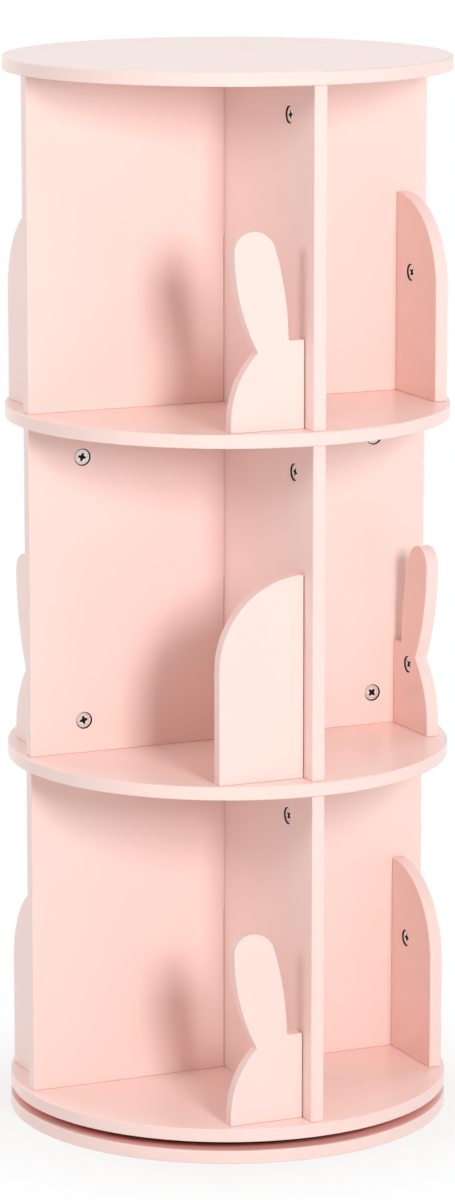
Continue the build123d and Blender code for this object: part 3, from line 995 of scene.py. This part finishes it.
class BOOKCASE_OT_build_cams(Operator):
    """Builds the cam locks of the dividers and bookends"""

    bl_idname = "bookcase.build_cams"
    bl_label = "Cam locks"

    def execute(self, context):
        cams = context.scene.bookcase_cams
        plate = nickel_plate()
        for level, tier in enumerate(TIERS):
            joints = divider_joints(level)
            places = [(turns, (reach, half_board - cams.sink, height + inward * cams.setback), "back")
                      for turns, reach, height, inward in joints]
            bolt_sides = [(0, -inward) for turns, reach, height, inward in joints]
            node = f"{tier}_divider_cams"
            build_cam_set(f"{node}_cast", places, bolt_sides, plate, node, seed=seeds_per_tier * level)

            face = (-half_board - cams.setback, -bookend_inner_face - cams.sink)
            places = [(turns, (*face, height), "back")
                      for turns, height in bookend_joints(level, cams.arch_height, cams.rabbit_height)]
            bolt_sides = [(-1, 0)] * len(places)
            node = f"{tier}_bookend_cams"
            build_cam_set(f"{node}_cast", places, bolt_sides, plate, node, seed=seeds_per_tier * level + 1)
        return {"FINISHED"}


class BOOKCASE_OT_build_bolts(Operator):
    """Builds the threaded cam bolts of the dividers and bookends"""

    bl_idname = "bookcase.build_bolts"
    bl_label = "Cam bolts"

    def execute(self, context):
        cams = context.scene.bookcase_cams
        surface = bolt_surface(context.scene.bookcase_fasteners, cams)
        plate = zinc_plate("bolt_zinc_plate")
        for level, tier in enumerate(TIERS):
            node = f"{tier}_divider_cam_bolts"
            places = [(turns, (reach, 0.0, height), "up" if inward > 0 else "down")
                      for turns, reach, height, inward in divider_joints(level)]
            build_turned(f"{node}_threaded", surface, places, plate, "carousel", node)

            node = f"{tier}_bookend_cam_bolts"
            places = bookend_places(level, cams.arch_height, cams.rabbit_height)
            build_turned(f"{node}_threaded", surface, places, plate, "carousel", node)
        return {"FINISHED"}


class BOOKCASE_OT_build_dowels(Operator):
    """Builds the fluted dowels of the bookends"""

    bl_idname = "bookcase.build_dowels"
    bl_label = "Dowels"

    def execute(self, context):
        sizes = context.scene.bookcase_fasteners
        surface = dowel_surface(sizes)
        wood = raw_beech()
        for level, tier in enumerate(TIERS):
            node = f"{tier}_bookend_dowels"
            places = bookend_places(level, sizes.arch_dowel_height, sizes.rabbit_dowel_height)
            build_turned(f"{node}_fluted", surface, places, wood, "carousel", node)
        return {"FINISHED"}


class BOOKCASE_OT_build_screws(Operator):
    """Builds the turntable's screws, which all point up from their heads"""

    bl_idname = "bookcase.build_screws"
    bl_label = "Turntable screws"

    def execute(self, context):
        sizes = context.scene.bookcase_fasteners
        plate = zinc_plate("screw_zinc_plate")
        for node, body in (("turntable_base_screws", "base"), ("turntable_shelf_screws", "carousel")):
            low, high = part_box(node)
            reach = (high.x - sizes.screw_head_radius) * math.sqrt(2.0)
            places = [(turns + 0.5, (reach, 0.0, low.z), "down") for turns in QUARTERS]
            surface = screw_surface(sizes, high.z - low.z)
            build_turned(f"{node}_threaded", surface, places, plate, body, node)
        return {"FINISHED"}


class BOOKCASE_OT_finish_turntable(Operator):
    """Gives the turntable's rings, balls and cage their materials"""

    bl_idname = "bookcase.finish_turntable"
    bl_label = "Turntable"

    def execute(self, context):
        give(("turntable_base_ring", "turntable_shelf_ring"), turned_aluminium())
        give(("turntable_balls",), polished_steel())
        give(("turntable_ball_cage",), moulded_nylon())
        return {"FINISHED"}


class BOOKCASE_OT_build_stage(Operator):
    """Builds the floor, the lamps and the camera"""

    bl_idname = "bookcase.build_stage"
    bl_label = "Stage"

    def execute(self, context):
        scene = context.scene
        stage = scene.bookcase_stage
        scene.view_settings.view_transform = "Standard"
        floor_disc(stage.floor_radius).data.materials.append(floor_paint())
        white_world()
        for name, place, width, height, power in LAMPS:
            softbox(name, place, width, height, getattr(stage, power))
        camera = bpy.data.objects.new("camera", bpy.data.cameras.new("camera"))
        camera.data.lens = stage.camera_lens
        camera.data.sensor_width = sensor_length
        camera.location = stage.camera_place
        camera.rotation_euler = (math.pi / 2 - stage.camera_dip, 0.0, -stage.camera_turn)
        scene.collection.objects.link(camera)
        scene.camera = camera
        scene.cycles.diffuse_bounces = stage.light_bounces
        return {"FINISHED"}


class BOOKCASE_PT_panel(Panel):
    """Lists the steps that dress the bookcase"""

    bl_label = "Revolving Bookcase"
    bl_idname = "BOOKCASE_PT_panel"
    bl_space_type = "VIEW_3D"
    bl_region_type = "UI"
    bl_category = "Bookcase"

    def draw(self, context):
        for operator in OPERATORS:
            self.layout.operator(operator.bl_idname)
        for group in GROUPS:
            settings = getattr(context.scene, group)
            box = self.layout.box()
            for name in settings.bl_rna.properties.keys():
                if name not in ("rna_type", "name"):
                    box.prop(settings, name)


GROUPS = {
    "bookcase_finishes": BookcaseFinishes,
    "bookcase_cams": BookcaseCams,
    "bookcase_fasteners": BookcaseFasteners,
    "bookcase_stage": BookcaseStage,
}
OPERATORS = (
    BOOKCASE_OT_finish_round_boards,
    BOOKCASE_OT_finish_dividers,
    BOOKCASE_OT_finish_bookends,
    BOOKCASE_OT_build_cams,
    BOOKCASE_OT_build_bolts,
    BOOKCASE_OT_build_dowels,
    BOOKCASE_OT_build_screws,
    BOOKCASE_OT_finish_turntable,
    BOOKCASE_OT_build_stage,
)


def register():
    for cls in (*GROUPS.values(), *OPERATORS, BOOKCASE_PT_panel):
        bpy.utils.register_class(cls)
    for name, group in GROUPS.items():
        setattr(bpy.types.Scene, name, PointerProperty(type=group))


def unregister():
    for name in GROUPS:
        delattr(bpy.types.Scene, name)
    for cls in (BOOKCASE_PT_panel, *reversed(OPERATORS), *reversed(GROUPS.values())):
        bpy.utils.unregister_class(cls)


def main():
    register()
    bpy.ops.bookcase.finish_round_boards()
    bpy.ops.bookcase.finish_dividers()
    bpy.ops.bookcase.finish_bookends()
    bpy.ops.bookcase.build_cams()
    bpy.ops.bookcase.build_bolts()
    bpy.ops.bookcase.build_dowels()
    bpy.ops.bookcase.build_screws()
    bpy.ops.bookcase.finish_turntable()
    bpy.ops.bookcase.build_stage()


if __name__ == "__main__":
    main()
